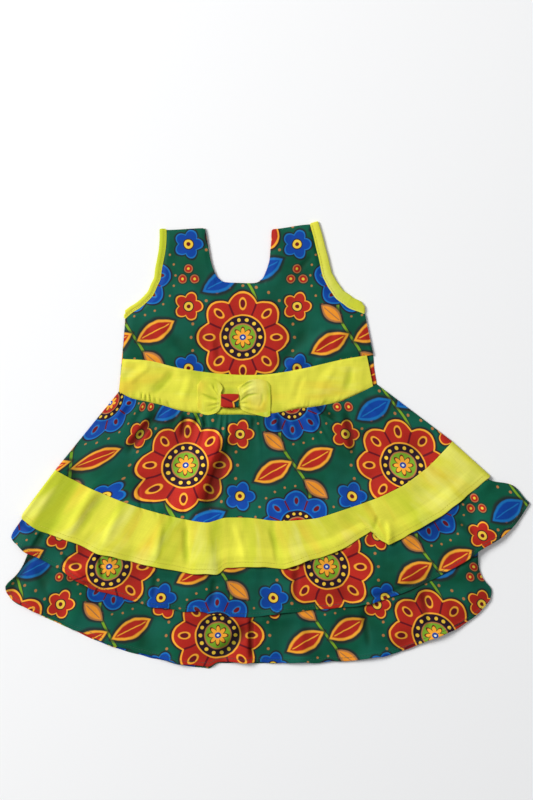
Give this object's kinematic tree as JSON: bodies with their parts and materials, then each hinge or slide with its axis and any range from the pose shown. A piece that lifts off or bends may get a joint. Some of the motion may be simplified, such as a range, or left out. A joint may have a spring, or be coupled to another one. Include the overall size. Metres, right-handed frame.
{
  "type": "toddler's ankara wax print dress",
  "caption": "Toddler's sleeveless cotton dress with a scoop neck, plain bound armholes, waistband and bow, and a gathered three-tier skirt, laid flat on its back.",
  "frame": {"origin": "middle of the dress's outline as seen from above, on the surface it lies on", "axes": "+X to the wearer's left side, which is on the right when the front is seen; +Y from the hem to the shoulders; +Z out of the front of the dress, up from the surface"},
  "size_m": [0.572, 0.4868, 0.0123],
  "materials": {
    "wax_print": "crisp plain-weave cotton, printed in red, orange, blue and dark brown on a deep green ground, slight wax sheen",
    "plain_yellow": "plain-weave cotton dyed lime yellow, slightly crumpled, matt",
    "wax_print_red": "the print cloth where it is mostly red, folded small"
  },
  "bodies": {
    "root": {"upper_tier_front": "wax_print", "upper_tier_back": "wax_print", "middle_tier_front": "wax_print", "middle_tier_back": "wax_print", "lower_tier_front": "wax_print", "lower_tier_back": "wax_print", "bodice_front": "wax_print", "bodice_back": "wax_print", "hem_band_front": "plain_yellow", "hem_band_back": "plain_yellow", "waistband": "plain_yellow", "bow": "plain_yellow", "left_armhole_binding": "plain_yellow", "right_armhole_binding": "plain_yellow", "bow_knot": "wax_print_red"}
  },
  "joints": []
}
